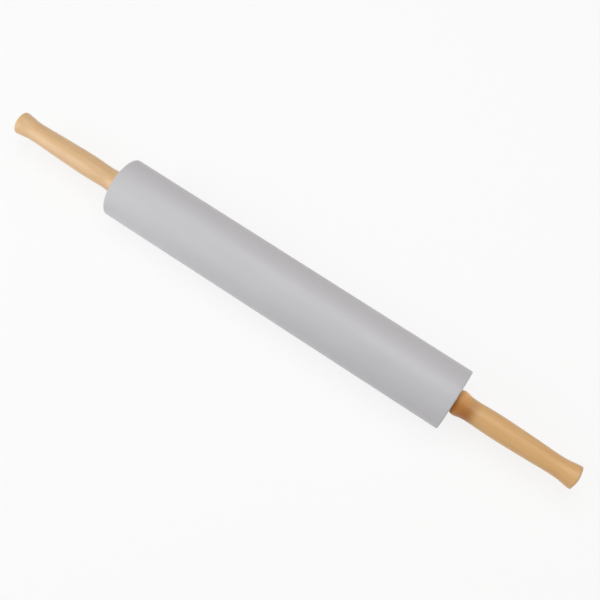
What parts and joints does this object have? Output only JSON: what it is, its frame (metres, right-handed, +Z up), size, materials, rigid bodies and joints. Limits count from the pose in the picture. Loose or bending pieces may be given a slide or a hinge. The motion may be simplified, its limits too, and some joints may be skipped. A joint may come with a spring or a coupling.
{
  "type": "rolling pin",
  "caption": "Roller rolling pin with a smooth plastic barrel that turns on ball bearings between two turned wooden handles.",
  "frame": {"origin": "centre of the barrel, on its axis", "axes": "+X along the barrel's axis towards the right-hand handle, +Z up"},
  "size_m": [0.6708, 0.065, 0.065],
  "materials": {
    "barrel_plastic": "satin",
    "handle_wood": "satin lacquer",
    "rod_steel": "turned",
    "insert_brass": "turned",
    "fastener_steel": "zinc plated",
    "bearing_steel": "ground",
    "seal_rubber": "moulded",
    "cage_plastic": "moulded",
    "ball_steel": "polished"
  },
  "bodies": {
    "axle": {"axle_rod": "rod_steel", "handle_left": "handle_wood", "handle_insert_left": "insert_brass", "lock_nut_left": "fastener_steel", "thrust_washer_left": "fastener_steel", "bearing_inner_ring_left": "bearing_steel", "handle_right": "handle_wood", "handle_insert_right": "insert_brass", "lock_nut_right": "fastener_steel", "thrust_washer_right": "fastener_steel", "bearing_inner_ring_right": "bearing_steel"},
    "roller": {"barrel": "barrel_plastic", "bearing_outer_ring_left": "bearing_steel", "bearing_seal_left": "seal_rubber", "bearing_outer_ring_right": "bearing_steel", "bearing_seal_right": "seal_rubber"},
    "ball_set_left": {"bearing_cage_left": "cage_plastic", "bearing_balls_left": "ball_steel"},
    "ball_set_right": {"bearing_cage_right": "cage_plastic", "bearing_balls_right": "ball_steel"}
  },
  "joints": [
    {"name": "barrel_spin", "type": "hinge", "parent": "axle", "child": "roller", "pos_m": [0, 0, 0], "axis": [1, 0, 0], "continuous": true},
    {"name": "ball_set_left_spin", "type": "hinge", "parent": "axle", "child": "ball_set_left", "pos_m": [-0.195, 0, 0], "axis": [1, 0, 0], "continuous": true},
    {"name": "ball_set_right_spin", "type": "hinge", "parent": "axle", "child": "ball_set_right", "pos_m": [0.195, 0, 0], "axis": [1, 0, 0], "continuous": true}
  ],
  "couplings": [
    {"joint": "ball_set_left_spin", "follows": "barrel_spin", "ratio": 0.63222},
    {"joint": "ball_set_right_spin", "follows": "barrel_spin", "ratio": 0.63222}
  ]
}
